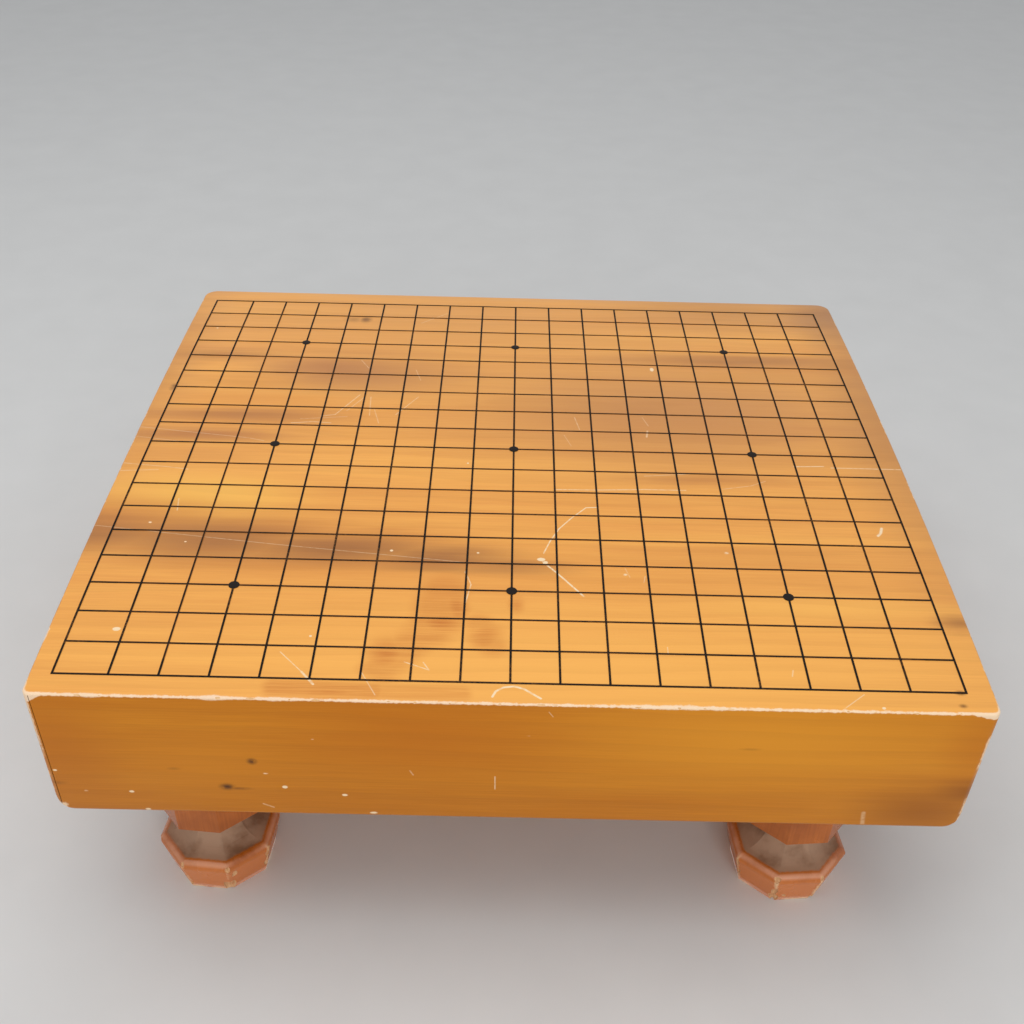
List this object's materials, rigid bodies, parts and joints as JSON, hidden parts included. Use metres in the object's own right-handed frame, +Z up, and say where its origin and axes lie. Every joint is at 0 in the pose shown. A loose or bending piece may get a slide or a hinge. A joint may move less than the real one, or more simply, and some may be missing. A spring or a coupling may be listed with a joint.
{
  "type": "floor game table",
  "caption": "Low floor table for a surrounding-stones board game: thick wooden block with a lacquered line grid on its crowned top, on carved octagonal pull-out legs.",
  "frame": {"origin": "centre of the footprint at floor level, below the middle of the block", "axes": "+X along the block's long side and its grain, +Y away from the player who faces the front, +Z up"},
  "size_m": [0.4544, 0.4242, 0.179],
  "materials": {
    "block_wood": "honey-coloured wood, satin varnish, worn at the edges",
    "lacquer": "near-black lacquer film",
    "leg_wood": "reddish-brown stained wood, satin varnish, chipped at the corners",
    "tenon_wood": "bare planed wood"
  },
  "bodies": {
    "block": {"board": "block_wood", "grid_lines": "lacquer", "star_points": "lacquer"},
    "front_left_leg": {"leg_front_left": "leg_wood", "tenon_front_left": "tenon_wood"},
    "front_right_leg": {"leg_front_right": "leg_wood", "tenon_front_right": "tenon_wood"},
    "rear_left_leg": {"leg_rear_left": "leg_wood", "tenon_rear_left": "tenon_wood"},
    "rear_right_leg": {"leg_rear_right": "leg_wood", "tenon_rear_right": "tenon_wood"}
  },
  "joints": [
    {"name": "front_left_leg_pull", "type": "slide", "parent": "block", "child": "front_left_leg", "axis": [0, 0, -1], "range_m": [0, 0.03]},
    {"name": "front_right_leg_pull", "type": "slide", "parent": "block", "child": "front_right_leg", "axis": [0, 0, -1], "range_m": [0, 0.03]},
    {"name": "rear_left_leg_pull", "type": "slide", "parent": "block", "child": "rear_left_leg", "axis": [0, 0, -1], "range_m": [0, 0.03]},
    {"name": "rear_right_leg_pull", "type": "slide", "parent": "block", "child": "rear_right_leg", "axis": [0, 0, -1], "range_m": [0, 0.03]}
  ]
}
